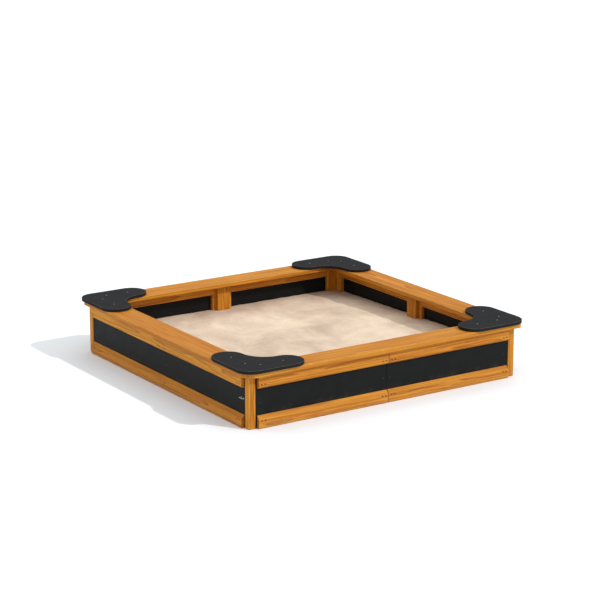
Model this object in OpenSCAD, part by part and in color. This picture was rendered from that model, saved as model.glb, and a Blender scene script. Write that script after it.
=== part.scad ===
// Square timber sandbox: four side frames of bevelled pine rails and dark infill panels
// around corner posts, a seat board on every side, a rounded seat plate on each corner,
// and a bed of play sand. Origin: middle of the footprint, on the ground. Front is -Y.

/* [Overall size] */
// Length over the corner posts, left to right
box_length = 2000; // [1400:50:2600]
// Width over the corner posts, front to back
box_width = 2000; // [1400:50:2600]
// Height of the frame, up to the underside of the seat boards
frame_height = 328; // [270:2:420]

/* [Corner posts] */
// Side of the square corner posts
post_size = 45; // [36:1:70]
// Open joint between a corner post and the ends of the rails
post_gap = 12; // [4:1:20]

/* [Rails] */
// Thickness of the rails
rail_thickness = 26; // [24:1:40]
// How far the rails stand in front of the posts
rail_proud = 21; // [10:1:26]
// Height of the lower rails
lower_rail_height = 80; // [70:1:110]
// Height of the upper rails
upper_rail_height = 79; // [64:1:110]
// Height of the long bevel along the top of the lower rails
long_bevel_height = 22; // [10:1:26]
// Size of the bevel along the bottom of the upper rails
drip_bevel = 12; // [4:1:16]
// Size of the small bevel along the bottom of the lower rails
foot_bevel = 6; // [2:1:12]
// Width of the shadow groove along each rail
groove_width = 5; // [3:1:10]
// Depth of the shadow groove
groove_depth = 3; // [1:0.5:6]
// Height of the groove above the bottom of a lower rail
lower_groove_height = 33; // [24:1:38]
// Height of the groove above the bottom of an upper rail
upper_groove_height = 42; // [34:1:50]
// Open joint between two rails at the middle of the front and back
seam_gap = 4; // [1:1:8]

/* [Infill panels] */
// Thickness of the infill panels
panel_thickness = 18; // [12:1:21]
// Gap around the panels, at the posts, at the ground and under the seat boards
panel_gap = 3; // [1:1:6]

/* [Inner boards] */
// Thickness of the upright boards, battens and seat boards
board_thickness = 28; // [20:1:40]
// How far the corner uprights reach from the outside of the corner
corner_reach = 120; // [105:1:150]
// Width of the joint board behind the middle of each side
joint_board_width = 150; // [130:2:200]
// Width of the middle post in front of the joint board
middle_post_width = 100; // [70:2:110]
// Height of the batten under each seat board
batten_height = 66; // [50:1:80]

/* [Seat boards] */
// Width of the seat boards
seat_width = 178; // [150:2:220]
// How far the seat boards reach past the posts
seat_overhang = 46; // [30:1:60]
// Corner cut of the seat, along each board
corner_cut = 62; // [30:1:80]
// Shorter corner cut on the right end of the front seat board
short_corner_cut = 30; // [20:1:80]

/* [Corner seat plates] */
// Thickness of the corner seat plates
plate_thickness = 22; // [10:1:26]
// How far the plates reach past the edge of the seat boards
plate_overhang = 16; // [0:1:24]
// Reach of each plate along the seat board, from the outside of the corner post
plate_reach = 397; // [320:1:460]
// Radius of the two round ends of a plate
plate_end_radius = 102; // [80:1:110]
// Radius of the outer corner of a plate
plate_corner_radius = 100; // [60:1:130]
// Distance of the inner plate screws from the outside of the corner
inner_plate_screw = 108; // [90:1:140]
// Distance of the outer plate screws from the outside of the corner
outer_plate_screw = 268; // [200:1:320]

/* [Fasteners] */
// Diameter of the screw shanks
shank_d = 5; // [4:0.5:6]
// Diameter of the screw heads
head_d = 9.5; // [8:0.5:13]
// Height of the countersunk part of a screw head
head_h = 4; // [2:0.5:5]
// Length of the screws through the rails
rail_screw_length = 66; // [55:1:70]
// Length of the screws through the panels
panel_screw_length = 34; // [25:1:38]
// Length of the screws through the corner plates
plate_screw_length = 45; // [35:1:48]
// How far the screws up through the battens reach into the seat boards
seat_screw_bite = 18; // [12:1:18]
// Distance of the first rail screw from the end of its rail
rail_screw_inset = 20; // [16:1:30]
// Distance between the two screws side by side at each end of a rail
rail_screw_pitch = 24; // [18:1:28]
// Height of the screws above the bottom of a lower rail
lower_screw_height = 50; // [44:1:52]
// Height of the screws above the bottom of an upper rail
upper_screw_height = 24; // [20:1:30]
// Distance of a panel screw from the end of its panel
panel_screw_inset = 22; // [14:1:40]

/* [Steel angles] */
// Leg length of the angles inside the corners
corner_angle_leg = 60; // [40:1:64]
// Height of the bottom of these angles above the ground, below the top of the sand
corner_angle_height = 80; // [66:2:110]
// Width of the steel angles
angle_width = 24; // [20:1:40]
// Thickness of the steel angles
angle_thickness = 3; // [2:0.5:4]
// Length of the small screws through the steel angles
angle_screw_length = 20; // [12:1:24]

/* [Cover cleat] */
// Length of the bar that the cord of a cover is lashed to
cleat_length = 42; // [38:1:80]
// Diameter of the bar
cleat_bar_d = 6; // [5:0.5:8]
// Free space between the bar and the panel
cleat_clearance = 8; // [6:0.5:12]
// Height of the bar above the ground
cleat_height = 180; // [140:1:200]
// Distance of the bar from the corner post
cleat_from_post = 12; // [8:1:30]

/* [Sand] */
// Depth of the sand along the left side
sand_depth = 150; // [80:5:180]
// How much deeper the sand is along the right side, where it is heaped
sand_heap = 48; // [0:2:60]
// How much deeper than on the left side the sand is along the back
sand_back_heap = 10; // [0:2:60]
// Free space between the sand and the timber
sand_clearance = 0.3; // [0.2:0.1:1]

/* [Hidden] */
SIDES = ["front", "right", "back", "left"];
CORNERS = ["front_left", "front_right", "back_right", "back_left"];

PINE = "#C77F37";
PINE_SHADED = "#A9682C";
PANEL_BLACK = "#2B2C2B";
PLATE_BLACK = "#38373A";
STEEL = "#B9BCC0";
SAND = "#DCC6AC";

ROUND = 48;
fit_clearance = 0.2;
rail_back = rail_thickness - rail_proud;
panel_front = rail_back;
panel_back = panel_front + panel_thickness;
upright_back = panel_back + board_thickness;
middle_post_back = upright_back + board_thickness;
seat_inner = seat_width - seat_overhang;
seat_top = frame_height + board_thickness;
plate_top = seat_top + plate_thickness;
plate_edge = seat_overhang + plate_overhang;
lobe_offset = plate_reach - plate_end_radius;
lobe_across = plate_end_radius - plate_edge;
waist_radius = lobe_offset - 2 * plate_end_radius + plate_edge;
seat_middle = seat_inner - seat_width / 2;
upper_rail_bottom = frame_height - upper_rail_height;
batten_bottom = frame_height - batten_height;
rail_start = post_size + post_gap;
panel_start = post_size + panel_gap;
panel_screw_z = frame_height / 2 - 8;
seat_screw_length = batten_height + seat_screw_bite;
pan_head_rise = 2.5;

function is_split(side) = side == "front" || side == "back";
function side_length(side) = is_split(side) ? box_length : box_width;

// ---- places -------------------------------------------------------------------

// Puts a side drawn along +X, with the inside towards +Y, on its own side of the box
module on_side(side) {
    x = (side == "right" || side == "back") ? box_length / 2 : -box_length / 2;
    y = (side == "back" || side == "left") ? box_width / 2 : -box_width / 2;
    turn = side == "front" ? 0 : side == "right" ? 90 : side == "back" ? 180 : -90;
    translate([x, y, 0])
        rotate([0, 0, turn])
            children();
}

// Puts a corner drawn with its outside corner at the origin on its own corner
module on_corner(corner) {
    i = search([corner], CORNERS)[0];
    x = (i == 1 || i == 2) ? box_length / 2 : -box_length / 2;
    y = i >= 2 ? box_width / 2 : -box_width / 2;
    translate([x, y, 0])
        rotate([0, 0, 90 * i])
            children();
}

// Stretches of rail or panel on a side: one, or two that meet at the middle
function stretches(side, start, gap) =
    let (far = side_length(side) - start, middle = side_length(side) / 2)
        is_split(side)
            ? [[start, middle - gap / 2], [middle + gap / 2, far]]
            : [[start, far]];

// Where the screws of a side stand along it: near both ends and both sides of the middle
function screw_places(side, start, inset, gap) =
    let (far = side_length(side) - start, middle = side_length(side) / 2)
        [start + inset, middle - gap / 2 - inset, middle + gap / 2 + inset, far - inset];

// ---- fasteners ----------------------------------------------------------------

// Countersunk screw, head flush at the origin, pointing along +Z
module countersunk_screw(length) {
    tip = shank_d;
    rotate_extrude($fn = ROUND)
        polygon([
            [0, 0], [head_d / 2, 0], [head_d / 2, 0.6], [shank_d / 2, head_h],
            [shank_d / 2, length - tip], [0, length]
        ]);
}

// Hole that takes the shank and the head of that screw
module screw_hole(length) {
    hole_d = shank_d + 2 * fit_clearance;
    mouth_d = head_d + 2 * fit_clearance;
    translate([0, 0, -1])
        cylinder(h = length + 2, d = hole_d, $fn = ROUND);
    translate([0, 0, -1])
        cylinder(h = 1.6, d = mouth_d, $fn = ROUND);
    translate([0, 0, 0.6])
        cylinder(h = head_h - 0.6 + fit_clearance, d1 = mouth_d, d2 = hole_d, $fn = ROUND);
}

// Runs its children at every rail screw of a side, pointing inwards
module at_rail_screws(side) {
    for (inset = [rail_screw_inset, rail_screw_inset + rail_screw_pitch])
        for (x = screw_places(side, rail_start, inset, seam_gap))
            for (z = [lower_screw_height, upper_rail_bottom + upper_screw_height])
                translate([x, -rail_proud, z])
                    rotate([-90, 0, 0])
                        children();
}

// Runs its children at every panel screw of a side, pointing inwards
module at_panel_screws(side) {
    for (x = screw_places(side, rail_start, panel_screw_inset, panel_gap))
        translate([x, panel_front, panel_screw_z])
            rotate([-90, 0, 0])
                children();
}

// Holes that the rail and panel screws need in whatever stands on a side
module side_screw_holes(side) {
    at_rail_screws(side)
        screw_hole(rail_screw_length);
    at_panel_screws(side)
        screw_hole(panel_screw_length);
}

// Runs its children at the two screws under a seat board, pointing up through the batten
module at_seat_screws(side) {
    for (part = [1, 3])
        translate([
            side_length(side) * part / 4, panel_back + board_thickness / 2, batten_bottom
        ])
            children();
}

// Runs its children at the four screws of a corner plate, pointing down
module at_plate_screws() {
    for (reach = [inner_plate_screw, outer_plate_screw])
        for (place = [[reach, seat_middle], [seat_middle, reach]])
            translate([place[0], place[1], plate_top])
                rotate([180, 0, 0])
                    children();
}

// ---- timber -------------------------------------------------------------------

module corner_post(corner) {
    color(PINE)
        on_corner(corner)
            cube([post_size, post_size, frame_height]);
}

// Cross-sections of the rails: first value across (minus is outwards), second is height
module groove_notch(height) {
    translate([-rail_proud, height])
        polygon([
            [-1, -groove_width / 2 - 1], [groove_depth, 0], [-1, groove_width / 2 + 1]
        ]);
}

module lower_rail_section() {
    difference() {
        polygon([
            [rail_back, 0],
            [foot_bevel - rail_proud, 0],
            [-rail_proud, foot_bevel],
            [-rail_proud, lower_rail_height - long_bevel_height],
            [0, lower_rail_height],
            [rail_back, lower_rail_height]
        ]);
        groove_notch(lower_groove_height);
    }
}

module upper_rail_section() {
    difference() {
        polygon([
            [rail_back, 0],
            [drip_bevel - rail_proud, 0],
            [-rail_proud, drip_bevel],
            [-rail_proud, upper_rail_height],
            [rail_back, upper_rail_height]
        ]);
        groove_notch(upper_groove_height);
    }
}

// Sweeps a cross-section along one stretch of a side
module along(stretch) {
    translate([stretch[0], 0, 0])
        rotate([90, 0, 90])
            linear_extrude(height = stretch[1] - stretch[0])
                children();
}

module lower_rail(side, part = 0) {
    color(PINE)
        on_side(side)
            difference() {
                along(stretches(side, rail_start, seam_gap)[part])
                    lower_rail_section();
                side_screw_holes(side);
            }
}

module upper_rail(side, part = 0) {
    color(PINE)
        on_side(side)
            difference() {
                translate([0, 0, upper_rail_bottom])
                    along(stretches(side, rail_start, seam_gap)[part])
                        upper_rail_section();
                side_screw_holes(side);
            }
}

module panel(side, part = 0) {
    stretch = stretches(side, panel_start, panel_gap)[part];
    color(PANEL_BLACK)
        on_side(side)
            difference() {
                translate([stretch[0], panel_front, panel_gap])
                    cube([
                        stretch[1] - stretch[0], panel_thickness, frame_height - 2 * panel_gap
                    ]);
                side_screw_holes(side);
                if (side == "left")
                    at_cleat_feet()
                        cleat_hole();
            }
}

// Upright board behind the panel at an end of a side. On the front and back it butts
// against the post; on the left and right it butts against the front or back upright.
module corner_upright(side, end) {
    start = is_split(side) ? post_size : upright_back;
    x = end == "a" ? start : side_length(side) - corner_reach;
    color(PINE_SHADED)
        on_side(side)
            difference() {
                translate([x, panel_back, 0])
                    cube([corner_reach - start, board_thickness, frame_height]);
                side_screw_holes(side);
                at_corner_angle_screws(side)
                    angle_pilot();
            }
}

// Wide board behind the middle of a side, below the batten
module joint_board(side) {
    middle = side_length(side) / 2;
    color(PINE_SHADED)
        on_side(side)
            difference() {
                translate([middle - joint_board_width / 2, panel_back, 0])
                    cube([joint_board_width, board_thickness, batten_bottom]);
                side_screw_holes(side);
            }
}

// Post in front of the joint board, up to the seat board
module middle_post(side) {
    middle = side_length(side) / 2;
    color(PINE)
        on_side(side)
            translate([middle - middle_post_width / 2, upright_back, 0])
                cube([middle_post_width, board_thickness, frame_height]);
}

// Batten under the seat board, from one corner upright to the other
module top_batten(side) {
    color(PINE_SHADED)
        on_side(side)
            difference() {
                translate([corner_reach, panel_back, batten_bottom])
                    cube([
                        side_length(side) - 2 * corner_reach, board_thickness, batten_height
                    ]);
                side_screw_holes(side);
                at_seat_screws(side)
                    screw_hole(seat_screw_length);
            }
}

// How far along the mitre a corner cut with these two legs starts
function mitre_start(leg_a, leg_b) = leg_a * leg_b / (leg_a + leg_b);

module seat_board(side) {
    length = side_length(side);
    out = seat_overhang;
    left_cut = corner_cut;
    right_cut = side == "front" ? short_corner_cut : corner_cut;
    left_other = side == "right" ? short_corner_cut : corner_cut;
    left_mitre = mitre_start(left_cut, left_other) - out;
    right_mitre = mitre_start(right_cut, corner_cut) - out;
    color(PINE)
        on_side(side)
            difference() {
                translate([0, 0, frame_height])
                    linear_extrude(height = board_thickness)
                        polygon([
                            [left_cut - out, -out],
                            [length + out - right_cut, -out],
                            [length - right_mitre, right_mitre],
                            [length - seat_inner, seat_inner],
                            [seat_inner, seat_inner],
                            [left_mitre, left_mitre]
                        ]);
                seat_plate_pilots(length);
                at_seat_screws(side)
                    screw_hole(seat_screw_length);
            }
}

// Holes in a seat board for the plate screws at its two ends
module seat_plate_pilots(length) {
    for (reach = [inner_plate_screw, outer_plate_screw])
        for (x = [reach, length - reach])
            translate([x, seat_middle, plate_top])
                rotate([180, 0, 0])
                    screw_hole(plate_screw_length);
}

// ---- corner seat plates ---------------------------------------------------------

module plate_outline() {
    inner = plate_corner_radius - plate_edge;
    span = lobe_offset - inner;
    depth = lobe_offset + plate_edge;
    difference() {
        union() {
            translate([inner, inner])
                circle(r = plate_corner_radius, $fn = 2 * ROUND);
            translate([inner, -plate_edge])
                square([span, depth]);
            translate([-plate_edge, inner])
                square([depth, span]);
            translate([lobe_offset, lobe_across])
                circle(r = plate_end_radius, $fn = 2 * ROUND);
            translate([lobe_across, lobe_offset])
                circle(r = plate_end_radius, $fn = 2 * ROUND);
        }
        translate([lobe_offset, lobe_offset])
            circle(r = waist_radius, $fn = 2 * ROUND);
    }
}

module corner_plate(corner) {
    color(PLATE_BLACK)
        on_corner(corner)
            difference() {
                translate([0, 0, seat_top])
                    linear_extrude(height = plate_thickness)
                        plate_outline();
                at_plate_screws()
                    screw_hole(plate_screw_length);
            }
}

// ---- screws ---------------------------------------------------------------------

module rail_screws() {
    color(STEEL)
        for (side = SIDES)
            on_side(side)
                at_rail_screws(side)
                    countersunk_screw(rail_screw_length);
}

module panel_screws() {
    color(STEEL)
        for (side = SIDES)
            on_side(side)
                at_panel_screws(side)
                    countersunk_screw(panel_screw_length);
}

module plate_screws() {
    color(STEEL)
        for (corner = CORNERS)
            on_corner(corner)
                at_plate_screws()
                    countersunk_screw(plate_screw_length);
}

module seat_screws() {
    color(STEEL)
        for (side = SIDES)
            on_side(side)
                at_seat_screws(side)
                    countersunk_screw(seat_screw_length);
}

// ---- steel angles in the corners ----------------------------------------------------

// Runs its children at the screws of the two corner angles that a side touches, outwards
module at_corner_angle_screws(side) {
    length = side_length(side);
    reach = upright_back + corner_angle_leg * 0.6;
    for (x = [reach, length - reach])
        translate([x, upright_back + angle_thickness, corner_angle_height + angle_width / 2])
            rotate([90, 0, 0])
                children();
}

module angle_pilot() {
    cylinder(h = angle_screw_length + 1, d = shank_d + 2 * fit_clearance, $fn = ROUND);
}

// Pan-head screw, head below the origin, shank along +Z
module pan_screw() {
    rotate_extrude($fn = ROUND)
        polygon([
            [0, -pan_head_rise], [head_d * 0.3, -pan_head_rise], [head_d * 0.45, 0],
            [shank_d / 2, 0], [shank_d / 2, angle_screw_length - shank_d],
            [0, angle_screw_length]
        ]);
}

module corner_angles() {
    color(STEEL)
        difference() {
            for (corner = CORNERS)
                on_corner(corner)
                    translate([upright_back, upright_back, corner_angle_height])
                        union() {
                            cube([corner_angle_leg, angle_thickness, angle_width]);
                            cube([angle_thickness, corner_angle_leg, angle_width]);
                        }
            for (side = SIDES)
                on_side(side)
                    at_corner_angle_screws(side)
                        translate([0, 0, -angle_thickness])
                            angle_pilot();
        }
}

module angle_screws() {
    color(STEEL)
        for (side = SIDES)
            on_side(side)
                at_corner_angle_screws(side)
                    pan_screw();
}

// ---- cleat for the cord of a cover --------------------------------------------------

// Where the bar starts along the left side, at its far end next to the front post
function cleat_start() = side_length("left") - post_size - cleat_from_post - cleat_length;

// Runs its children at the two feet of the cleat, pointing outwards
module at_cleat_feet() {
    foot_inset = 1.5 * cleat_bar_d;
    for (x = [foot_inset, cleat_length - foot_inset])
        translate([cleat_start() + x, panel_front, cleat_height])
            rotate([90, 0, 0])
                children();
}

module cleat_hole() {
    translate([0, 0, -panel_thickness - 1])
        cylinder(h = panel_thickness + 2, d = cleat_bar_d + 2 * fit_clearance, $fn = ROUND);
}

// A bar on two feet; each foot has a flange on the panel and a peg through it
module cover_cleat() {
    stand_off = cleat_clearance + cleat_bar_d / 2;
    flange_d = 2 * cleat_bar_d;
    flange_h = 2;
    color(STEEL)
        on_side("left") {
            at_cleat_feet() {
                translate([0, 0, -panel_thickness])
                    cylinder(h = panel_thickness + stand_off, d = cleat_bar_d, $fn = ROUND);
                cylinder(h = flange_h, d = flange_d, $fn = ROUND);
            }
            translate([cleat_start(), panel_front - stand_off, cleat_height])
                rotate([0, 90, 0])
                    cylinder(h = cleat_length, d = cleat_bar_d, $fn = ROUND);
        }
}

// ---- sand -----------------------------------------------------------------------

// Block of sand with a sloping top: deepest at the front right corner
module sand_body() {
    reach_x = box_length / 2 - panel_back - sand_clearance;
    reach_y = box_width / 2 - panel_back - sand_clearance;
    heap = sand_depth + sand_heap;
    intersection() {
        translate([0, reach_y, 0])
            rotate([90, 0, 0])
                linear_extrude(height = 2 * reach_y)
                    polygon([
                        [-reach_x, 0], [reach_x, 0], [reach_x, heap], [-reach_x, sand_depth]
                    ]);
        translate([-reach_x, 0, 0])
            rotate([90, 0, 90])
                linear_extrude(height = 2 * reach_x)
                    polygon([
                        [-reach_y, 0], [reach_y, 0],
                        [reach_y, sand_depth + sand_back_heap], [-reach_y, heap]
                    ]);
    }
}

// Room that the upright timber of a side takes out of the sand
module sand_cutouts(side) {
    gap = sand_clearance;
    middle = side_length(side) / 2;
    cut_height = frame_height;
    for (x = [0, side_length(side) - corner_reach - gap])
        translate([x, 0, -1])
            cube([corner_reach + gap, upright_back + gap, cut_height]);
    translate([middle - joint_board_width / 2 - gap, 0, -1])
        cube([joint_board_width + 2 * gap, upright_back + gap, cut_height]);
    translate([middle - middle_post_width / 2 - gap, 0, -1])
        cube([middle_post_width + 2 * gap, middle_post_back + gap, cut_height]);
}

// Room that the corner angles and their screw heads take out of the sand
module angle_pockets() {
    reach = corner_angle_leg + sand_clearance;
    depth = angle_thickness + pan_head_rise + sand_clearance;
    height = angle_width + 2 * sand_clearance;
    for (corner = CORNERS)
        on_corner(corner)
            translate([upright_back, upright_back, corner_angle_height - sand_clearance]) {
                cube([reach, depth, height]);
                cube([depth, reach, height]);
            }
}

module sand() {
    color(SAND)
        difference() {
            sand_body();
            for (side = SIDES)
                on_side(side)
                    sand_cutouts(side);
            angle_pockets();
        }
}

// ---- what is drawn -----------------------------------------------------------------

corner_post("front_left");  // corner_post_front_left
corner_post("front_right");  // corner_post_front_right
corner_post("back_right");  // corner_post_back_right
corner_post("back_left");  // corner_post_back_left
lower_rail("front", 0);  // lower_rail_front_a
lower_rail("front", 1);  // lower_rail_front_b
lower_rail("right");  // lower_rail_right
lower_rail("back", 0);  // lower_rail_back_a
lower_rail("back", 1);  // lower_rail_back_b
lower_rail("left");  // lower_rail_left
upper_rail("front", 0);  // upper_rail_front_a
upper_rail("front", 1);  // upper_rail_front_b
upper_rail("right");  // upper_rail_right
upper_rail("back", 0);  // upper_rail_back_a
upper_rail("back", 1);  // upper_rail_back_b
upper_rail("left");  // upper_rail_left
panel("front", 0);  // panel_front_a
panel("front", 1);  // panel_front_b
panel("right");  // panel_right
panel("back", 0);  // panel_back_a
panel("back", 1);  // panel_back_b
panel("left");  // panel_left
corner_upright("front", "a");  // corner_upright_front_a
corner_upright("front", "b");  // corner_upright_front_b
corner_upright("right", "a");  // corner_upright_right_a
corner_upright("right", "b");  // corner_upright_right_b
corner_upright("back", "a");  // corner_upright_back_a
corner_upright("back", "b");  // corner_upright_back_b
corner_upright("left", "a");  // corner_upright_left_a
corner_upright("left", "b");  // corner_upright_left_b
joint_board("front");  // joint_board_front
joint_board("right");  // joint_board_right
joint_board("back");  // joint_board_back
joint_board("left");  // joint_board_left
middle_post("front");  // middle_post_front
middle_post("right");  // middle_post_right
middle_post("back");  // middle_post_back
middle_post("left");  // middle_post_left
top_batten("front");  // top_batten_front
top_batten("right");  // top_batten_right
top_batten("back");  // top_batten_back
top_batten("left");  // top_batten_left
seat_board("front");  // seat_board_front
seat_board("right");  // seat_board_right
seat_board("back");  // seat_board_back
seat_board("left");  // seat_board_left
corner_plate("front_left");  // corner_plate_front_left
corner_plate("front_right");  // corner_plate_front_right
corner_plate("back_right");  // corner_plate_back_right
corner_plate("back_left");  // corner_plate_back_left
rail_screws();
panel_screws();
plate_screws();
seat_screws();
corner_angles();
angle_screws();
cover_cleat();
sand();
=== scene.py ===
# %% [markdown]
# # A square timber sandbox
# The imported model is the frame of this lesson. It says where every board, panel, plate and
# screw sits, so no piece here needs a position of its own.

# %% Load the frame
import math
import random

import bmesh
import bpy
import numpy as np
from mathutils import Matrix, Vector, noise


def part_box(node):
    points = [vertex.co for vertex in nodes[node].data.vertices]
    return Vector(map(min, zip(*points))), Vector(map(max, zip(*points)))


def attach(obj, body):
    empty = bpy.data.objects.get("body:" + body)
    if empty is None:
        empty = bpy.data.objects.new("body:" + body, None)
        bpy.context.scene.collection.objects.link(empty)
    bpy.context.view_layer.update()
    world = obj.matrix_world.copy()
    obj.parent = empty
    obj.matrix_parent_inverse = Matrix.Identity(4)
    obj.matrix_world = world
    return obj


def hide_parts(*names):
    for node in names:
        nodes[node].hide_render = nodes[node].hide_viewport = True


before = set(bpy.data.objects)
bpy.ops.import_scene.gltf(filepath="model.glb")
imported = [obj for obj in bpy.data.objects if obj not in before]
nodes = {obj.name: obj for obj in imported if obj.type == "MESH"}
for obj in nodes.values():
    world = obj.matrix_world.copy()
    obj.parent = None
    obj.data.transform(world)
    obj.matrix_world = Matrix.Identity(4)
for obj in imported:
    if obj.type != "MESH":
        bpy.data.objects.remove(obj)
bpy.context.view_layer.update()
MM = 0.001

# %% [markdown]
# ## Camera
# The sandbox is seen from in front and a little above with a long lens, which keeps its sides
# almost parallel. The camera stands 13.5 m away, so the far clipping distance is raised.

# %% Camera
CAMERA_PLACE = (-7.1213, -10.8215, 3.8774)
CAMERA_PITCH = 75.09
CAMERA_TURN = -33.42
LENS = 123.65
FAR_CLIP = 80.0

camera_data = bpy.data.cameras.new("camera")
camera_data.lens = LENS
camera_data.clip_end = FAR_CLIP
camera = bpy.data.objects.new("camera", camera_data)
camera.location = CAMERA_PLACE
camera.rotation_euler = (math.radians(CAMERA_PITCH), 0, math.radians(CAMERA_TURN))
bpy.context.scene.collection.objects.link(camera)
bpy.context.scene.camera = camera
print("camera distance", round(Vector(CAMERA_PLACE).length, 2), "m")

# %% [markdown]
# ## Helpers for node trees
# A shader's colours are linear, but people choose them as sRGB hex values, so one function
# turns the one into the other. The second adds a node to a tree, sets its settings and joins
# its inputs to other nodes, so that a material reads like a recipe. It serves the geometry
# trees as well.


# %% Node helpers
def hex_colour(code):
    """Linear RGBA of an sRGB hex colour such as D08C3C."""
    channels = [int(code[i:i + 2], 16) / 255 for i in (0, 2, 4)]
    linear = [c / 12.92 if c <= 0.04045 else ((c + 0.055) / 1.055) ** 2.4 for c in channels]
    return (*linear, 1.0)


def add_node(tree, kind, settings=None, **inputs):
    """Adds a node. An input is named, or is input_2 for the third one; it takes a value, a
    socket, or a node whose first shown output is joined. A ramp's stops are a setting."""
    node = tree.nodes.new(kind)
    for key, value in (settings or {}).items():
        if key != "stops":
            setattr(node, key, value)
            continue
        elements = node.color_ramp.elements
        while len(elements) < len(value):
            elements.new(0.5)
        for element, (position, code) in zip(elements, value):
            element.position = position
            element.color = hex_colour(code)
    for key, value in inputs.items():
        by_number = key.startswith("input_")
        socket = node.inputs[int(key[6:]) if by_number else key.replace("_", " ")]
        if isinstance(value, bpy.types.Node):
            value = next(output for output in value.outputs if output.enabled)
        if isinstance(value, bpy.types.NodeSocket):
            tree.links.new(value, socket)
        else:
            socket.default_value = value
    return node


def new_material(name):
    """A material whose tree holds only a coordinate node; gives the material, its tree and its
    Object coordinates.
    """
    material = bpy.data.materials.new(name)
    material.use_nodes = True
    tree = material.node_tree
    tree.nodes.clear()
    return material, tree, add_node(tree, "ShaderNodeTexCoord").outputs["Object"]


# %% [markdown]
# ## Glazed pine
# The boards are planed pine with a golden-brown outdoor glaze. Wood is a solid material: a
# board shows tall arches on its face and arcs on its end because both cut through the same
# growth rings. So the pattern here is solid too. Each board carries its own coordinates, with
# the tree's centre line running along it somewhere beside the board, and the rings are the
# distance from that line. Real pine has rings 2 to 4 mm apart, too fine to show at this
# distance, so they are drawn 7 mm apart. The glaze lies thin on the soft pale wood and
# darkens the hard rings, and it leaves a satin surface that is rubbed pale along the edges.

# %% Pine material
RING_SPACING = 7 * MM
FIBRE_LENGTH = 160 * MM
FIBRE_WIDTH = 2.2 * MM
RING_WANDER = 35 * MM
WAVE_STRETCH = (0.16, 1.0, 1.0)     # along, across and through the board
CLOUD_STRETCH = (1.3, 22.0, 22.0)
END_GRAIN_DARKENING = 0.45
SPLASH_HEIGHT = 45 * MM


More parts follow.
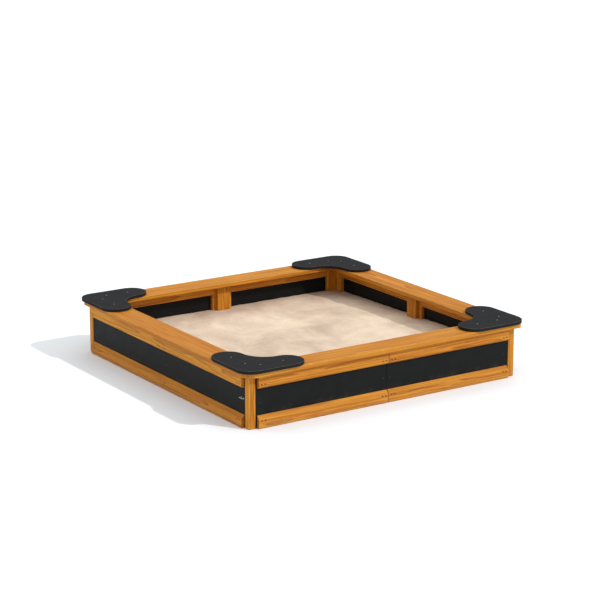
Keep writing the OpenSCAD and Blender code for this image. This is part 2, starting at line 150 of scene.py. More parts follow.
def glazed_pine():
    """Planed softwood under a satin outdoor glaze: warm rings, fine fibres, worn edges."""
    material, tree, place = new_material("glazed_pine")
    grain = add_node(tree, "ShaderNodeAttribute", {"attribute_name": "grain"}).outputs["Vector"]
    tone = add_node(tree, "ShaderNodeAttribute", {"attribute_name": "tone"}).outputs["Fac"]
    end = add_node(tree, "ShaderNodeAttribute", {"attribute_name": "end_grain"}).outputs["Fac"]
    edge = add_node(tree, "ShaderNodeAttribute", {"attribute_name": "worn_edge"}).outputs["Fac"]

    # Slow waves along the board bend the rings
    stretched = add_node(tree, "ShaderNodeVectorMath", {"operation": "MULTIPLY"},
                         input_0=grain, input_1=WAVE_STRETCH)
    wave = add_node(tree, "ShaderNodeTexNoise", Vector=stretched, Scale=7.0, Detail=3.0,
                    Roughness=0.45)
    centred = add_node(tree, "ShaderNodeVectorMath", {"operation": "SUBTRACT"},
                       input_0=wave.outputs["Color"], input_1=(0.5, 0.5, 0.5))
    pushed = add_node(tree, "ShaderNodeVectorMath", {"operation": "SCALE"}, input_0=centred,
                      Scale=RING_WANDER)
    bent = add_node(tree, "ShaderNodeVectorMath", {"operation": "MULTIPLY_ADD"},
                    input_0=pushed, input_1=(1.0, 1.0, 1.0), input_2=grain)
    across = add_node(tree, "ShaderNodeVectorMath", {"operation": "MULTIPLY"},
                      input_0=bent, input_1=(0.0, 1.0, 1.0))
    radius = add_node(tree, "ShaderNodeVectorMath", {"operation": "LENGTH"},
                      input_0=across).outputs["Value"]
    turns = add_node(tree, "ShaderNodeMath", {"operation": "DIVIDE"}, input_0=radius,
                     input_1=RING_SPACING)
    rings = add_node(tree, "ShaderNodeMath", {"operation": "FRACT"}, input_0=turns)

    # Fibres are fine streaks along the board, and clouds are broad ones
    thin = add_node(tree, "ShaderNodeVectorMath", {"operation": "MULTIPLY"}, input_0=grain,
                    input_1=(1 / FIBRE_LENGTH, 1 / FIBRE_WIDTH, 1 / FIBRE_WIDTH))
    fibres = add_node(tree, "ShaderNodeTexNoise", Vector=thin, Scale=0.5, Detail=3.0,
                      Roughness=0.6)
    broad = add_node(tree, "ShaderNodeVectorMath", {"operation": "MULTIPLY"}, input_0=grain,
                     input_1=CLOUD_STRETCH)
    clouds = add_node(tree, "ShaderNodeTexNoise", Vector=broad, Scale=1.6, Detail=4.0,
                      Roughness=0.55)

    wood = add_node(tree, "ShaderNodeValToRGB", {"stops": [
        (0.0, "DA9830"), (0.45, "D3902B"), (0.78, "C48024"), (0.93, "AE6D1C"),
        (1.0, "D6942D")]}, Fac=rings)
    fibre_tone = add_node(tree, "ShaderNodeValToRGB",
                          {"stops": [(0.3, "707070"), (0.7, "D6D6D6")]}, Fac=fibres)
    streaked = add_node(tree, "ShaderNodeMix", {"data_type": "RGBA", "blend_type": "SOFT_LIGHT"},
                        input_0=0.5, input_6=wood, input_7=fibre_tone)
    cloud_tone = add_node(tree, "ShaderNodeValToRGB",
                          {"stops": [(0.3, "747474"), (0.72, "E2E2E2")]}, Fac=clouds)
    clouded = add_node(tree, "ShaderNodeMix", {"data_type": "RGBA", "blend_type": "SOFT_LIGHT"},
                       input_0=0.55, input_6=streaked, input_7=cloud_tone)
    board_tone = add_node(tree, "ShaderNodeValToRGB",
                          {"stops": [(0.0, "EBDDD0"), (1.0, "FFFFFF")]}, Fac=tone)
    toned = add_node(tree, "ShaderNodeMix", {"data_type": "RGBA", "blend_type": "MULTIPLY"},
                     input_0=1.0, input_6=clouded, input_7=board_tone)
    end_share = add_node(tree, "ShaderNodeMath", {"operation": "MULTIPLY"}, input_0=end,
                         input_1=END_GRAIN_DARKENING)
    darkened = add_node(tree, "ShaderNodeMix", {"data_type": "RGBA", "blend_type": "MULTIPLY"},
                        input_0=end_share, input_6=toned, input_7=hex_colour("C8A888"))

    # Hands and feet rub the glaze off the rounded edges in patches
    rub = add_node(tree, "ShaderNodeTexNoise", Vector=place, Scale=24.0, Detail=5.0,
                   Roughness=0.7)
    patches = add_node(tree, "ShaderNodeMapRange", Value=rub, From_Min=0.45, From_Max=0.7,
                       To_Min=0.05, To_Max=0.5)
    edge_mark = add_node(tree, "ShaderNodeMath", {"operation": "MULTIPLY"}, input_0=edge,
                    input_1=patches)
    rubbed = add_node(tree, "ShaderNodeMix", {"data_type": "RGBA"}, input_0=edge_mark,
                      input_6=darkened, input_7=hex_colour("E2B671"))

    # Splashed soil and dust along the foot of the timber
    height = add_node(tree, "ShaderNodeSeparateXYZ", Vector=place).outputs["Z"]
    low = add_node(tree, "ShaderNodeMapRange", Value=height, From_Min=0.0,
                   From_Max=SPLASH_HEIGHT, To_Min=1.0, To_Max=0.0)
    spots = add_node(tree, "ShaderNodeTexNoise", Vector=place, Scale=30.0, Detail=5.0,
                     Roughness=0.65)
    splash = add_node(tree, "ShaderNodeMapRange", Value=spots, From_Min=0.42, From_Max=0.7,
                      To_Min=0.0, To_Max=0.5)
    dirt = add_node(tree, "ShaderNodeMath", {"operation": "MULTIPLY"}, input_0=low,
                    input_1=splash)
    colour = add_node(tree, "ShaderNodeMix", {"data_type": "RGBA"}, input_0=dirt,
                      input_6=rubbed, input_7=hex_colour("A78C6C"))

    satin = add_node(tree, "ShaderNodeMapRange", Value=fibres, To_Min=0.50, To_Max=0.68)
    rough = add_node(tree, "ShaderNodeMath", {"operation": "MULTIPLY_ADD"}, input_0=edge_mark,
                     input_1=0.3, input_2=satin)
    relief = add_node(tree, "ShaderNodeMath", {"operation": "MULTIPLY_ADD"}, input_0=rings,
                      input_1=0.35, input_2=fibres)
    bump = add_node(tree, "ShaderNodeBump", Height=relief, Strength=0.35, Distance=0.6 * MM)
    shader = add_node(tree, "ShaderNodeBsdfPrincipled", Base_Color=colour, Roughness=rough,
                      IOR=1.47, Specular_IOR_Level=0.2, Normal=bump)
    add_node(tree, "ShaderNodeOutputMaterial", Surface=shader)
    return material


PINE = glazed_pine()
print("made", PINE.name, "with", len(PINE.node_tree.nodes), "nodes")

# %% [markdown]
# ## Infill panels: compact laminate
# The infill panels are compact laminate, a hard black sheet pressed from resin and paper. Its
# skin has a pebble about 2 mm across, which breaks up the gloss, so the surface mirrors very
# little. Sand and soil leave long hairline scratches and a little dust above the lower rail.


# %% Panel material
PEBBLE = 2.4 * MM
SCRATCH_STRETCH = (3.0, 3.0, 160.0)
DUST_BOTTOM = 75 * MM
DUST_TOP = 120 * MM
PANEL_EDGE_WEAR = 0.4


def compact_laminate():
    """Pressed resin sheet: near black, satin, pebbled, with pale scuffs and dust."""
    material, tree, place = new_material("black_compact_laminate")
    edge = add_node(tree, "ShaderNodeAttribute", {"attribute_name": "worn_edge"}).outputs["Fac"]
    dust = add_node(tree, "ShaderNodeTexNoise", Vector=place, Scale=9.0, Detail=6.0,
                    Roughness=0.7)
    base = add_node(tree, "ShaderNodeValToRGB", {"stops": [
        (0.25, "151616"), (0.55, "1A1B1B"), (0.85, "232322")]}, Fac=dust)
    drawn = add_node(tree, "ShaderNodeVectorMath", {"operation": "MULTIPLY"}, input_0=place,
                     input_1=SCRATCH_STRETCH)
    scratches = add_node(tree, "ShaderNodeTexNoise", Vector=drawn, Scale=2.2, Detail=5.0,
                         Roughness=0.8)
    scuffs = add_node(tree, "ShaderNodeMapRange", Value=scratches, From_Min=0.62, From_Max=0.8,
                      To_Min=0.0, To_Max=0.14)
    scuffed = add_node(tree, "ShaderNodeMix", {"data_type": "RGBA"}, input_0=scuffs,
                       input_6=base, input_7=hex_colour("4A4845"))
    height = add_node(tree, "ShaderNodeSeparateXYZ", Vector=place).outputs["Z"]
    low = add_node(tree, "ShaderNodeMapRange", Value=height, From_Min=DUST_BOTTOM,
                   From_Max=DUST_TOP, To_Min=0.22, To_Max=0.0)
    flecks = add_node(tree, "ShaderNodeMapRange", Value=dust, From_Min=0.45, From_Max=0.7)
    splashes = add_node(tree, "ShaderNodeMath", {"operation": "MULTIPLY"}, input_0=low,
                        input_1=flecks)
    dusty = add_node(tree, "ShaderNodeMix", {"data_type": "RGBA"}, input_0=splashes,
                     input_6=scuffed, input_7=hex_colour("6A5E4E"))
    edge_mark = add_node(tree, "ShaderNodeMath", {"operation": "MULTIPLY"}, input_0=edge,
                    input_1=PANEL_EDGE_WEAR)
    colour = add_node(tree, "ShaderNodeMix", {"data_type": "RGBA"}, input_0=edge_mark,
                      input_6=dusty, input_7=hex_colour("3C3A38"))
    rough = add_node(tree, "ShaderNodeMapRange", Value=dust, From_Min=0.3, From_Max=0.75,
                     To_Min=0.4, To_Max=0.58)
    pebble = add_node(tree, "ShaderNodeTexNoise", Vector=place, Scale=1 / PEBBLE, Detail=2.0)
    bump = add_node(tree, "ShaderNodeBump", Height=pebble, Strength=0.12, Distance=0.3 * MM)
    shader = add_node(tree, "ShaderNodeBsdfPrincipled", Base_Color=colour, Roughness=rough,
                      IOR=1.5, Specular_IOR_Level=0.08, Normal=bump)
    add_node(tree, "ShaderNodeOutputMaterial", Surface=shader)
    return material


LAMINATE = compact_laminate()
print("made", LAMINATE.name, "with", len(LAMINATE.node_tree.nodes), "nodes")

# %% [markdown]
# ## Corner seats: grained polyethylene
# The corner plates are polyethylene board in dark grey. Its top is pressed with a grain of
# small cells, so that a seat isn't slippery, and the cells scatter the light until the top is
# almost matt. They are a millimetre wide in life and are drawn 4 mm wide so that they show.
# A thin pale line along the rounded cut edge is a painted highlight, laid on in patches.


# %% Plate material
CELL = 3.8 * MM


def grained_polyethylene():
    """Dark plastic board: matt cells on top, faint pale wear, a painted pale highlight on the
    edge.
    """
    material, tree, place = new_material("grained_polyethylene")
    edge = add_node(tree, "ShaderNodeAttribute", {"attribute_name": "worn_edge"}).outputs["Fac"]
    clouds = add_node(tree, "ShaderNodeTexNoise", Vector=place, Scale=14.0, Detail=6.0,
                      Roughness=0.65)
    base = add_node(tree, "ShaderNodeValToRGB", {"stops": [
        (0.3, "1D1C1D"), (0.55, "222122"), (0.8, "282728")]}, Fac=clouds)
    wear = add_node(tree, "ShaderNodeTexNoise", Vector=place, Scale=55.0, Detail=6.0,
                    Roughness=0.8)
    scuffs = add_node(tree, "ShaderNodeMapRange", Value=wear, From_Min=0.6, From_Max=0.82,
                      To_Min=0.0, To_Max=0.22)
    scuffed = add_node(tree, "ShaderNodeMix", {"data_type": "RGBA"}, input_0=scuffs,
                       input_6=base, input_7=hex_colour("5A5752"))
    # Painted highlight: the rounded edge is lightened in patches to stand for light caught along
    # it
    highlight_patches = add_node(tree, "ShaderNodeMapRange", Value=wear, From_Min=0.4, From_Max=0.65,
                       To_Min=0.15, To_Max=0.5)
    rim = add_node(tree, "ShaderNodeMath", {"operation": "MULTIPLY"}, input_0=edge,
                   input_1=highlight_patches)
    colour = add_node(tree, "ShaderNodeMix", {"data_type": "RGBA"}, input_0=rim,
                      input_6=scuffed, input_7=hex_colour("6E6354"))
    rough = add_node(tree, "ShaderNodeMapRange", Value=clouds, From_Min=0.3, From_Max=0.75,
                     To_Min=0.52, To_Max=0.72)
    cells = add_node(tree, "ShaderNodeTexVoronoi", {"feature": "SMOOTH_F1"}, Vector=place,
                     Scale=1 / CELL)
    bump = add_node(tree, "ShaderNodeBump", Height=cells, Strength=0.4, Distance=0.8 * MM)
    shader = add_node(tree, "ShaderNodeBsdfPrincipled", Base_Color=colour, Roughness=rough,
                      IOR=1.51, Specular_IOR_Level=0.06, Normal=bump)
    add_node(tree, "ShaderNodeOutputMaterial", Surface=shader)
    return material


POLYETHYLENE = grained_polyethylene()
print("made", POLYETHYLENE.name, "with", len(POLYETHYLENE.node_tree.nodes), "nodes")

# %% [markdown]
# ## Steel
# The seat plates are held by plain stainless screws, and the cleat and the hidden angles are
# stainless too: a bright metal with faint brush marks. The screws in the rails and panels
# have a black coating that is rubbed down to steel in places, so they show as dark points.


# %% Steel materials
BRUSH_MARKS_PER_METRE = (900.0, 900.0, 90.0)


def steel(name, light, dark, metallic, smoothest, roughest):
    """Brushed steel, plain or with a black coating."""
    material, tree, place = new_material(name)
    brushed = add_node(tree, "ShaderNodeVectorMath", {"operation": "MULTIPLY"},
                       input_0=place, input_1=BRUSH_MARKS_PER_METRE)
    marks = add_node(tree, "ShaderNodeTexNoise", Vector=brushed, Scale=1.0, Detail=3.0)
    stains = add_node(tree, "ShaderNodeTexNoise", Vector=place, Scale=70.0, Detail=5.0,
                      Roughness=0.7)
    colour = add_node(tree, "ShaderNodeValToRGB", {"stops": [(0.3, dark), (0.7, light)]},
                      Fac=stains)
    rough = add_node(tree, "ShaderNodeMapRange", Value=marks, To_Min=smoothest,
                     To_Max=roughest)
    bump = add_node(tree, "ShaderNodeBump", Height=marks, Strength=0.15, Distance=0.1 * MM)
    shader = add_node(tree, "ShaderNodeBsdfPrincipled", Base_Color=colour, Roughness=rough,
                      Metallic=metallic, Normal=bump)
    add_node(tree, "ShaderNodeOutputMaterial", Surface=shader)
    return material


STAINLESS = steel("stainless_steel", "C9CACB", "A6A7A8", 1.0, 0.22, 0.42)
BLACKENED = steel("blackened_steel", "2A2522", "14110F", 0.35, 0.4, 0.6)
print("made", STAINLESS.name, "and", BLACKENED.name)

# %% [markdown]
# ## Boards with eased edges
# A planed board never has a knife edge: the mill rounds its corners so that they don't
# splinter, and the round edge is what catches the light. Each board starts as a copy of its
# node in the frame. Its loose triangles are joined and its flat faces made whole, then its
# long edges are rounded. The rims of its screw holes stay crisp: they are told apart
# because each rim is one small closed chain of edges. Only edges that stand out are rounded,
# so the grooves in the rails stay sharp, and the round faces are marked: for wear on the
# boards and panels, and for a painted highlight on the seat plates.

# %% Round the edges of a copy of a node
LARGEST_RIM = 20 * MM
SMALLEST_ANGLE = 30
MERGE_DISTANCE = 0.01 * MM
FLAT_ANGLE = 1


def joined_copy(name):
    """A bmesh of the node's shape, with doubles merged and flat faces made whole."""
    shape = bmesh.new()
    shape.from_mesh(nodes[name].data)
    bmesh.ops.remove_doubles(shape, verts=shape.verts, dist=MERGE_DISTANCE)
    bmesh.ops.dissolve_limit(shape, angle_limit=math.radians(FLAT_ANGLE), verts=shape.verts,
                             edges=shape.edges)
    return shape


def linked_groups(items, neighbours):
    """Groups the items that can be reached from one another."""
    left = set(items)
    while left:
        group = [left.pop()]
        for item in group:
            touching = set(neighbours(item)) & left
            left -= touching
            group.extend(touching)
        yield group


def outer_edges(shape, largest_rim):
    """Edges that stand out, without the small rims of the screw holes."""
    limit = math.radians(SMALLEST_ANGLE)
    sharp = [e for e in shape.edges if e.is_manifold and e.calc_face_angle_signed() > limit]
    kept = []
    for chain in linked_groups(sharp, lambda e: [n for v in e.verts for n in v.link_edges]):
        corners = np.array([v.co for e in chain for v in e.verts])
        if np.linalg.norm(corners.max(axis=0) - corners.min(axis=0)) > largest_rim:
            kept.extend(chain)
    return kept


def eased_piece(name, radius, material, steps=3, largest_rim=LARGEST_RIM):
    """A piece that stands for the node, with its outline rounded."""
    shape = joined_copy(name)
    # Marks the rounded faces: wear on the boards and panels, a painted highlight on the seat
    # plates
    edge_mark = shape.faces.layers.float.new("worn_edge")
    rounded = bmesh.ops.bevel(shape, geom=outer_edges(shape, largest_rim), offset=radius,
                              segments=steps, profile=0.5, affect="EDGES",
                              clamp_overlap=True)["faces"]
    for face in rounded:
        face[edge_mark] = 1.0
    bmesh.ops.recalc_face_normals(shape, faces=shape.faces)
    mesh = bpy.data.meshes.new(name + "_finished")
    shape.to_mesh(mesh)
    shape.free()
    mesh.shade_smooth()
    mesh.materials.append(material)
    piece = bpy.data.objects.new(name + "_finished", mesh)
    bpy.context.scene.collection.objects.link(piece)
    flat_faces = piece.modifiers.new("flat_faces_stay_flat", "WEIGHTED_NORMAL")
    flat_faces.keep_sharp = True
    flat_faces.weight = 100
    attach(piece, "root")
    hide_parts(name)
    return piece


# %% [markdown]
# ## Cut the boards from different trees
# Every board gets coordinates along, across and through itself, moved by a random but fixed
# amount, so that no two boards repeat. Their second and third values are measured from the
# tree's centre line, which lies 45 to 95 mm away from the board, so wide faces show arches.
# Faces across the board's length are marked as end grain, which soaks up more glaze.

# %% Grain attributes
GRAIN_SEED = 7
PITH_SIDEWAYS = 0.35            # the most, as a share of the board's width
PITH_DISTANCE_MM = (45, 95)
TREE_LENGTH = 40
END_FACE = 0.8
chance = random.Random(GRAIN_SEED)


def cut_from_tree(piece, along):
    """Stores the grain coordinates, the tone and the end grain of one board."""
    mesh = piece.data
    corners = np.array([v.co for v in mesh.vertices])
    middle = (corners.max(axis=0) + corners.min(axis=0)) / 2
    size = corners.max(axis=0) - corners.min(axis=0)
    wide, thin = sorted([axis for axis in range(3) if axis != along], key=lambda a: -size[a])
    grain = np.empty_like(corners)
    pith_beside = chance.uniform(-PITH_SIDEWAYS, PITH_SIDEWAYS) * size[wide]
    pith_below = chance.choice((-1, 1)) * chance.uniform(*PITH_DISTANCE_MM) * MM
    grain[:, 0] = corners[:, along] + chance.uniform(0, TREE_LENGTH)
    grain[:, 1] = corners[:, wide] - middle[wide] + pith_beside
    grain[:, 2] = corners[:, thin] - middle[thin] + pith_below
    mesh.attributes.new("grain", "FLOAT_VECTOR", "POINT").data.foreach_set(
        "vector", grain.ravel())
    tone = np.full(len(corners), chance.uniform(0.0, 1.0))
    mesh.attributes.new("tone", "FLOAT", "POINT").data.foreach_set("value", tone)
    ends = np.array([abs(face.normal[along]) > END_FACE for face in mesh.polygons],
                    dtype=float)
    mesh.attributes.new("end_grain", "FLOAT", "FACE").data.foreach_set("value", ends)


# %% Make every board
EASED_EDGE = {
    "corner_post": 3 * MM, "lower_rail": 1.5 * MM, "upper_rail": 1.5 * MM,
    "corner_upright": 2.5 * MM, "joint_board": 2.5 * MM, "middle_post": 3 * MM,
    "top_batten": 2.5 * MM, "seat_board": 4 * MM,
}
UPRIGHT_KINDS = ("corner_post", "corner_upright", "joint_board", "middle_post")
boards = 0
for name in sorted(nodes):
    kind = next((k for k in EASED_EDGE if name.startswith(k)), None)
    if kind is None:
        continue
    low, high = (Vector(corner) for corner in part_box(name))
    size = high - low
    along = 2 if kind in UPRIGHT_KINDS else (0 if size.x > size.y else 1)
    cut_from_tree(eased_piece(name, EASED_EDGE[kind], PINE), along)
    boards += 1
print("boards", boards)

# %% [markdown]
# ## Panels, seat plates and cleat
# The panels are sawn from sheet, so their edges are only just broken. The plates are routed
# with a 3 mm round. The cleat's bar and the flanges of its feet get a fine turned edge, and
# here the small rims are wanted, so no rim counts as too small.

# %% Panels, seat plates and cleat
PANEL_EDGE = 0.8 * MM
PLATE_EDGE = 3 * MM
CLEAT_EDGE = 0.4 * MM
for name in sorted(nodes):
    if name.startswith("panel_") and name != "panel_screws":
        eased_piece(name, PANEL_EDGE, LAMINATE, steps=2)
    if name.startswith("corner_plate_"):
        eased_piece(name, PLATE_EDGE, POLYETHYLENE, steps=4)
eased_piece("cover_cleat", CLEAT_EDGE, STAINLESS, steps=2, largest_rim=0.0)

# %% [markdown]
# ## Screws
# About a hundred countersunk screws differ only in their size, so one Geometry Nodes tree
# makes them all. It draws the screw's outline as a line of points, turns that line round its
# axis by giving each point a radius, cuts a six-sided socket into the head, and puts a copy
# on every point of a small mesh. A bit never stops at the same angle twice, so each screw is
# turned by its own amount from a fixed seed. The tree's inputs carry the sizes.

# %% Tree for the screws
SCREW_SIDES = 24
SOCKET_SIDES = 6
TIP_RADIUS = 0.05 * MM
SCREW_INPUTS = ("Head Diameter", "Head Rim", "Head Height", "Shank Diameter", "Length",
                "Socket Width", "Socket Depth")


def screw_tree():
    """Puts a screw on each point; the point's "pointing" says which way its tip goes."""
    tree = bpy.data.node_groups.new("screws_on_points", "GeometryNodeTree")
    tree.interface.new_socket("Places", in_out="INPUT", socket_type="NodeSocketGeometry")
    for name in SCREW_INPUTS:
        tree.interface.new_socket(name, in_out="INPUT", socket_type="NodeSocketFloat")
    tree.interface.new_socket("Seed", in_out="INPUT", socket_type="NodeSocketInt")
    tree.interface.new_socket("Finish", in_out="INPUT", socket_type="NodeSocketMaterial")
    tree.interface.new_socket("Screws", in_out="OUTPUT", socket_type="NodeSocketGeometry")
    given = add_node(tree, "NodeGroupInput").outputs

    head = add_node(tree, "ShaderNodeMath", {"operation": "MULTIPLY"},
                    input_0=given["Head Diameter"], input_1=0.5)
    shank = add_node(tree, "ShaderNodeMath", {"operation": "MULTIPLY"},
                     input_0=given["Shank Diameter"], input_1=0.5)
    taper = add_node(tree, "ShaderNodeMath", {"operation": "SUBTRACT"},
                     input_0=given["Length"], input_1=given["Shank Diameter"])
    outline = [(0.0, head), (given["Head Rim"], head), (given["Head Height"], shank),
               (taper, shank), (given["Length"], TIP_RADIUS)]
    index = add_node(tree, "GeometryNodeInputIndex")
    switches = []
    for column in range(2):
        switch = add_node(tree, "GeometryNodeIndexSwitch", {"data_type": "FLOAT"}, Index=index)
        while len(switch.index_switch_items) < len(outline):
            switch.index_switch_items.new()
        for number, point in enumerate(outline):
            if isinstance(point[column], float):
                switch.inputs[number + 1].default_value = point[column]
            else:
                source = point[column]
                if isinstance(source, bpy.types.Node):
                    source = source.outputs[0]
                tree.links.new(source, switch.inputs[number + 1])
        switches.append(switch)
    heights, radii = switches

    line = add_node(tree, "GeometryNodeMeshLine", Count=len(outline))
    up = add_node(tree, "ShaderNodeCombineXYZ", Z=heights)
    drawn = add_node(tree, "GeometryNodeSetPosition", Geometry=line, Position=up)
    axis = add_node(tree, "GeometryNodeMeshToCurve", Mesh=drawn)
    circle = add_node(tree, "GeometryNodeCurvePrimitiveCircle", Resolution=SCREW_SIDES,
                      Radius=1.0)
    body = add_node(tree, "GeometryNodeCurveToMesh", Curve=axis, Profile_Curve=circle,
                    Scale=radii, Fill_Caps=True)
    socket_radius = add_node(tree, "ShaderNodeMath", {"operation": "DIVIDE"},
                             input_0=given["Socket Width"], input_1=math.sqrt(3))
    socket_depth = add_node(tree, "ShaderNodeMath", {"operation": "MULTIPLY"},
                            input_0=given["Socket Depth"], input_1=2.0)
    key = add_node(tree, "GeometryNodeMeshCylinder", Vertices=SOCKET_SIDES,
                   Radius=socket_radius, Depth=socket_depth)
    screw = add_node(tree, "GeometryNodeMeshBoolean", {"operation": "DIFFERENCE"},
                     input_0=body, input_1=key)

    pointing = add_node(tree, "GeometryNodeInputNamedAttribute", {"data_type": "FLOAT_VECTOR"},
                        Name="pointing")
    turned = add_node(tree, "FunctionNodeAlignRotationToVector", {"axis": "Z"},
                      Vector=pointing)
    copies = add_node(tree, "GeometryNodeInstanceOnPoints", Points=given["Places"],
                      Instance=screw, Rotation=turned)
    angle = add_node(tree, "FunctionNodeRandomValue", {"data_type": "FLOAT"},
                     input_2=0.0, input_3=math.pi / 3, Seed=given["Seed"])
    spin = add_node(tree, "ShaderNodeCombineXYZ", Z=angle)
    spun = add_node(tree, "GeometryNodeRotateInstances", Instances=copies, Rotation=spin)
    real = add_node(tree, "GeometryNodeRealizeInstances", Geometry=spun)
    coated = add_node(tree, "GeometryNodeSetMaterial", Geometry=real,
                      Material=given["Finish"])
    add_node(tree, "NodeGroupOutput", Screws=coated)
    return tree


SCREWS = screw_tree()
print("made", SCREWS.name, "with", len(SCREWS.nodes), "nodes")

# %% [markdown]
# ## Where the screws are
# Each screw of a node is a separate island of its mesh. The wider end of the island is the
# head, so its middle is the screw's place, and the direction to the other end is where it
# points. The head and shank sizes are measured on the first island.

# %% Measure and place the screws
SHARP_ANGLE = 35
SOCKET_SHARE = 0.42
SOCKET_DEPTH = 2.0 * MM
HEAD_RIM = 0.6 * MM
AT_END = 0.05 * MM


def read_screws(name):
    """Heads, directions and sizes of the screws in a node."""
    shape = joined_copy(name)
    heads, directions = [], []
    for island in linked_groups(shape.verts, lambda v: [e.other_vert(v) for e in v.link_edges]):
        corners = np.array([v.co for v in island])
        low, high = corners.min(axis=0), corners.max(axis=0)
        along = int(np.argmax(high - low))
        across = [axis for axis in range(3) if axis != along]
        middle = (low + high)[across] / 2
        radius = np.linalg.norm(corners[:, across] - middle, axis=1)
        head_is_low = radius[corners[:, along] < low[along] + AT_END].max() > AT_END
        start = (low if head_is_low else high)[along]
        head = (low + high) / 2
        head[along] = start
        direction = np.zeros(3)
        direction[along] = 1.0 if head_is_low else -1.0
        heads.append(head)
        directions.append(direction)
    depth = np.abs(corners[:, along] - start)
    shank_radius = radius[(depth > AT_END) & (radius > AT_END)].min()
    on_shank = (radius < shank_radius + AT_END) & (radius > AT_END)
    sizes = {"Head Diameter": 2 * radius.max(), "Head Rim": HEAD_RIM,
             "Head Height": depth[on_shank].min(), "Shank Diameter": 2 * shank_radius,
             "Length": depth.max(), "Socket Width": 2 * radius.max() * SOCKET_SHARE,
             "Socket Depth": SOCKET_DEPTH}
    shape.free()
    return np.array(heads), np.array(directions), sizes


def finished_screws(name, material, seed):
    """Runs the tree on the places of one node's screws and keeps the plain mesh."""
    heads, directions, sizes = read_screws(name)
    points = bpy.data.meshes.new(name + "_places")
    points.from_pydata(heads.tolist(), [], [])
    points.attributes.new("pointing", "FLOAT_VECTOR", "POINT").data.foreach_set(
        "vector", directions.ravel())
    holder = bpy.data.objects.new(name + "_places", points)
    bpy.context.scene.collection.objects.link(holder)
    maker = holder.modifiers.new("screws", "NODES")
    maker.node_group = SCREWS
    given = {**{key: float(value) for key, value in sizes.items()}, "Seed": seed,
             "Finish": material}
    for item in SCREWS.interface.items_tree:
        if item.name in given:
            maker[item.identifier] = given[item.name]
    evaluated = holder.evaluated_get(bpy.context.evaluated_depsgraph_get())
    mesh = bpy.data.meshes.new_from_object(evaluated)
    holder.modifiers.remove(maker)
    bpy.data.objects.remove(holder)
    mesh.shade_smooth()
    mesh.set_sharp_from_angle(angle=math.radians(SHARP_ANGLE))
    piece = bpy.data.objects.new(name + "_finished", mesh)
    bpy.context.scene.collection.objects.link(piece)
    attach(piece, "root")
    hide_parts(name)
    print(name, len(heads), "screws", len(mesh.polygons), "faces",
          {key: round(value / MM, 2) for key, value in sizes.items()})


finished_screws("rail_screws", BLACKENED, seed=1)
finished_screws("panel_screws", BLACKENED, seed=2)
finished_screws("plate_screws", STAINLESS, seed=3)
finished_screws("seat_screws", STAINLESS, seed=4)

# %% [markdown]
# ## Hidden steel
# The angles in the corners and their small screws lie under the sand. Their shape in the
# frame is right as it is, so they only get their finish.

# %% Hidden steel
for name in ("corner_angles", "angle_screws"):
    nodes[name].data.materials.clear()
    nodes[name].data.materials.append(STAINLESS)

# %% [markdown]
# ## Sand
# Play sand is fine, pale and dry, and it never lies flat: feet and spades leave soft hollows
# and heaps, and the wind leaves small ripples. The surface is a grid that fits the timber
# exactly, because the lines of the grid are placed on every wall and post. Its height is the
# frame's sloping surface, set a few millimetres lower, plus a sum of waves of falling size,
# and it never rises above the frame's. The grains are far too small for the mesh, so the
# material makes them.

# %% Sand heights
SAND_STEP = 9 * MM
SAND_MARGIN = 7 * MM
CALM_WIDTH = 220 * MM
sand_low, sand_high = (Vector(corner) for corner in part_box("sand"))
frame_sand = [v.co for v in nodes["sand"].data.vertices]
sand_left = max(v.z for v in frame_sand if v.x < sand_low.x + MM)
sand_back = max(v.z for v in frame_sand if v.y > sand_high.y - MM)
print("sand along the left side", round(sand_left, 3), "and along the back", round(sand_back, 3))


def sand_top(x, y):
    """Height of the frame's sloping sand surface."""
    along_x = (x - sand_low.x) / (sand_high.x - sand_low.x)
    along_y = (y - sand_low.y) / (sand_high.y - sand_low.y)
    rise_to_right = sand_left + (sand_high.z - sand_left) * along_x
    fall_to_back = sand_high.z + (sand_back - sand_high.z) * along_y
    return min(rise_to_right, fall_to_back)


def calm_near_walls(x, y):
    """Falls from 1 to 0 within a hand's width of a wall, where the sand is pressed flat."""
    inset = min(x - sand_low.x, sand_high.x - x, y - sand_low.y, sand_high.y - y)
    return min(1.0, inset / CALM_WIDTH)


# Each wave is (waves per metre, height in mm), from hollows down to crumbs
LARGE_WAVES = ((2.1, 11.0), (5.2, 6.0))
SMALL_WAVES = ((13.0, 2.6), (34.0, 1.4), (75.0, 0.8))


def waves(x, y):
    """How far the surface lies above or under the middle of the waves."""
    sums = []
    for group in (LARGE_WAVES, SMALL_WAVES):
        sums.append(sum(height * MM * noise.noise(Vector((x * rate, y * rate, rate)))
                        for rate, height in group))
    return sums[0] * calm_near_walls(x, y) + sums[1]


def grid_lines(low, high, walls):
    """Evenly spaced lines from low to high that also pass through every wall."""
    stops = sorted({low, high, *(w for w in walls if low < w < high)})
    lines = [low]
    for a, b in zip(stops, stops[1:]):
        count = max(1, round((b - a) / SAND_STEP))
        lines.extend(a + (b - a) * (i + 1) / count for i in range(count))
    return lines


# %% Sand mesh
SAND_GAP = 0.3 * MM
TOP_FACE = 0.3
timber = [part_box(n) for n in nodes
          if n.startswith(("corner_upright", "joint_board", "middle_post"))]
x_walls = [v for low, high in timber for v in (low[0] - SAND_GAP, high[0] + SAND_GAP)]
y_walls = [v for low, high in timber for v in (low[1] - SAND_GAP, high[1] + SAND_GAP)]
xs = grid_lines(sand_low.x, sand_high.x, x_walls)
ys = grid_lines(sand_low.y, sand_high.y, y_walls)


def is_timber(x, y):
    """Whether the place is inside an upright board, or within the gap around it."""
    return any(low[0] - SAND_GAP < x < high[0] + SAND_GAP
               and low[1] - SAND_GAP < y < high[1] + SAND_GAP for low, high in timber)


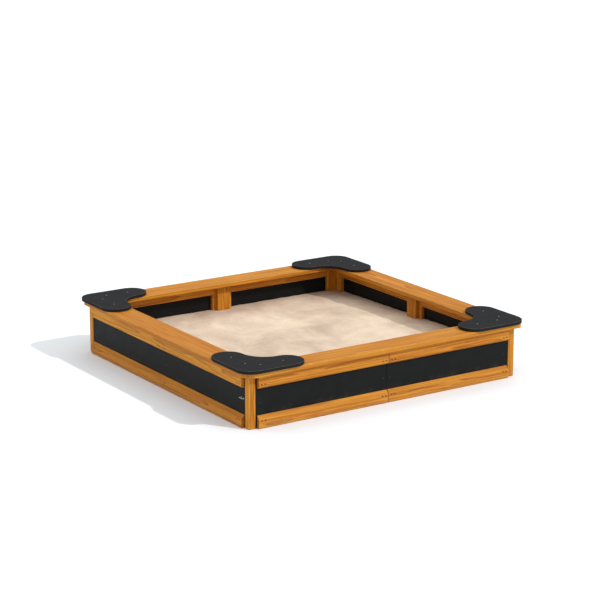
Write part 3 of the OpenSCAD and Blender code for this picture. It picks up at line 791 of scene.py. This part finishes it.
def make_sand():
    """Closed body of sand: an uneven top, straight walls and a flat bottom."""
    shape = bmesh.new()
    corners = {}

    def corner(i, j):
        if (i, j) not in corners:
            x, y = xs[i], ys[j]
            height = sand_top(x, y) - SAND_MARGIN + waves(x, y)
            corners[i, j] = shape.verts.new((x, y, min(height, sand_top(x, y))))
        return corners[i, j]

    for i in range(len(xs) - 1):
        for j in range(len(ys) - 1):
            if not is_timber((xs[i] + xs[i + 1]) / 2, (ys[j] + ys[j + 1]) / 2):
                shape.faces.new([corner(i, j), corner(i + 1, j), corner(i + 1, j + 1),
                                 corner(i, j + 1)])
    rim = [e for e in shape.edges if e.is_boundary]
    walls = bmesh.ops.extrude_edge_only(shape, edges=rim)["geom"]
    for item in walls:
        if isinstance(item, bmesh.types.BMVert):
            item.co.z = 0
    bottom = [e for e in walls if isinstance(e, bmesh.types.BMEdge) and e.is_boundary]
    bmesh.ops.contextual_create(shape, geom=bottom)
    bmesh.ops.recalc_face_normals(shape, faces=shape.faces)
    mesh = bpy.data.meshes.new("sand_bed")
    shape.to_mesh(mesh)
    shape.free()
    for face in mesh.polygons:
        face.use_smooth = face.normal.z > TOP_FACE
    return mesh


sand_mesh = make_sand()
sand_heights = np.array([v.co.z for v in sand_mesh.vertices if v.co.z > 0])
print("sand faces", len(sand_mesh.polygons), "heights", sand_heights.min(), sand_heights.max())

# %% [markdown]
# ## Sand material
# Washed play sand is mostly quartz: pale beige grains about half a millimetre across, with
# darker and lighter ones among them. The grains are drawn 3 mm across so that they still
# show as a fine speckle. Under them lie broad patches, where feet have turned up damper and
# greyer sand, and streaks that a rake or a hand has drawn.

# %% Sand material
GRAIN = 3 * MM
CLUMP = 14 * MM
RAKE_STRETCH = (7.0, 3.0, 1.0)


def play_sand():
    """Dry quartz sand: matt, pale, speckled, with damp patches and raked streaks."""
    material, tree, place = new_material("dry_quartz_sand")
    patches = add_node(tree, "ShaderNodeTexNoise", Vector=place, Scale=2.6, Detail=5.0,
                       Roughness=0.6, Distortion=0.4)
    raked = add_node(tree, "ShaderNodeVectorMath", {"operation": "MULTIPLY"}, input_0=place,
                     input_1=RAKE_STRETCH)
    streaks = add_node(tree, "ShaderNodeTexNoise", Vector=raked, Scale=2.4, Detail=4.0,
                       Roughness=0.6)
    clumps = add_node(tree, "ShaderNodeTexNoise", Vector=place, Scale=1 / CLUMP, Detail=4.0,
                      Roughness=0.65)
    grains = add_node(tree, "ShaderNodeTexNoise", Vector=place, Scale=1 / GRAIN, Detail=3.0,
                      Roughness=0.7)
    colour = add_node(tree, "ShaderNodeValToRGB", {"stops": [
        (0.36, "C6AE98"), (0.5, "D6BEA7"), (0.66, "E5D0B7")]}, Fac=patches)
    for pattern, share, dark, light in ((streaks, 0.20, "949494", "DCDCDC"),
                                        (clumps, 0.25, "909090", "D8D8D8"),
                                        (grains, 0.40, "8C8C8C", "DCDCDC")):
        shade = add_node(tree, "ShaderNodeValToRGB", {"stops": [(0.32, dark), (0.7, light)]},
                         Fac=pattern)
        colour = add_node(tree, "ShaderNodeMix",
                          {"data_type": "RGBA", "blend_type": "SOFT_LIGHT"},
                          input_0=share, input_6=colour, input_7=shade)
    relief = add_node(tree, "ShaderNodeMath", {"operation": "MULTIPLY_ADD"}, input_0=clumps,
                      input_1=2.0, input_2=grains)
    dry = add_node(tree, "ShaderNodeMapRange", Value=patches, To_Min=0.86, To_Max=1.0)
    bump = add_node(tree, "ShaderNodeBump", Height=relief, Strength=0.5, Distance=1.2 * MM)
    shader = add_node(tree, "ShaderNodeBsdfPrincipled", Base_Color=colour, Roughness=dry,
                      IOR=1.54, Specular_IOR_Level=0.2, Normal=bump)
    add_node(tree, "ShaderNodeOutputMaterial", Surface=shader)
    return material


sand_mesh.materials.append(play_sand())
sand_bed = bpy.data.objects.new("sand_bed", sand_mesh)
bpy.context.scene.collection.objects.link(sand_bed)
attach(sand_bed, "root")
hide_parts("sand")

# %% [markdown]
# ## Floor and light
# The sandbox stands on a plain pale studio floor. A white dome, brighter overhead than at the
# horizon, fills the shadows, and a sun-like lamp halfway up the sky at the front right throws
# one clear shadow to the back left. The camera itself sees plain white behind the floor.

# %% Floor
FLOOR_SIZE = 60.0


def studio_floor():
    """Matt white floor paint."""
    material, tree, place = new_material("matt_white_floor")
    shade = add_node(tree, "ShaderNodeTexNoise", Vector=place, Scale=0.6, Detail=2.0)
    colour = add_node(tree, "ShaderNodeValToRGB",
                      {"stops": [(0.3, "F5F5F6"), (0.7, "F7F7F8")]}, Fac=shade)
    shader = add_node(tree, "ShaderNodeBsdfPrincipled", Base_Color=colour, Roughness=0.9,
                      Specular_IOR_Level=0.1)
    add_node(tree, "ShaderNodeOutputMaterial", Surface=shader)
    return material


floor_mesh = bpy.data.meshes.new("floor")
half = FLOOR_SIZE / 2
floor_mesh.from_pydata([(-half, -half, 0), (half, -half, 0), (half, half, 0), (-half, half, 0)],
                       [], [(0, 1, 2, 3)])
floor_mesh.materials.append(studio_floor())
floor = bpy.data.objects.new("floor", floor_mesh)
bpy.context.scene.collection.objects.link(floor)

# %% Light
HORIZON = 0.46
ZENITH = 1.22
SKY_COLOUR = "F7FCFF"
SUN_STRENGTH = 1.6
SUN_ANGLE = 1.2
SUN_TRAVEL = Vector((-0.60, 0.9, -1.0))

world = bpy.data.worlds.new("surround")
world.use_nodes = True
sky = world.node_tree
sky.nodes.clear()
direction = add_node(sky, "ShaderNodeTexCoord").outputs["Generated"]
upward = add_node(sky, "ShaderNodeSeparateXYZ", Vector=direction).outputs["Z"]
glow = add_node(sky, "ShaderNodeMapRange", Value=upward, To_Min=HORIZON, To_Max=ZENITH)
seen = add_node(sky, "ShaderNodeLightPath").outputs["Is Camera Ray"]
strength = add_node(sky, "ShaderNodeMath", {"operation": "MAXIMUM"}, input_0=glow, input_1=seen)
dome = add_node(sky, "ShaderNodeBackground", Color=hex_colour(SKY_COLOUR), Strength=strength)
add_node(sky, "ShaderNodeOutputWorld", Surface=dome)
bpy.context.scene.world = world

sun_data = bpy.data.lights.new("sun", "SUN")
sun_data.energy = SUN_STRENGTH
sun_data.angle = math.radians(SUN_ANGLE)
sun = bpy.data.objects.new("sun", sun_data)
sun.rotation_euler = SUN_TRAVEL.to_track_quat("-Z", "Y").to_euler()
bpy.context.scene.collection.objects.link(sun)
bpy.context.scene.view_settings.view_transform = "Standard"
print("dome", HORIZON, "to", ZENITH, "sun", SUN_STRENGTH)
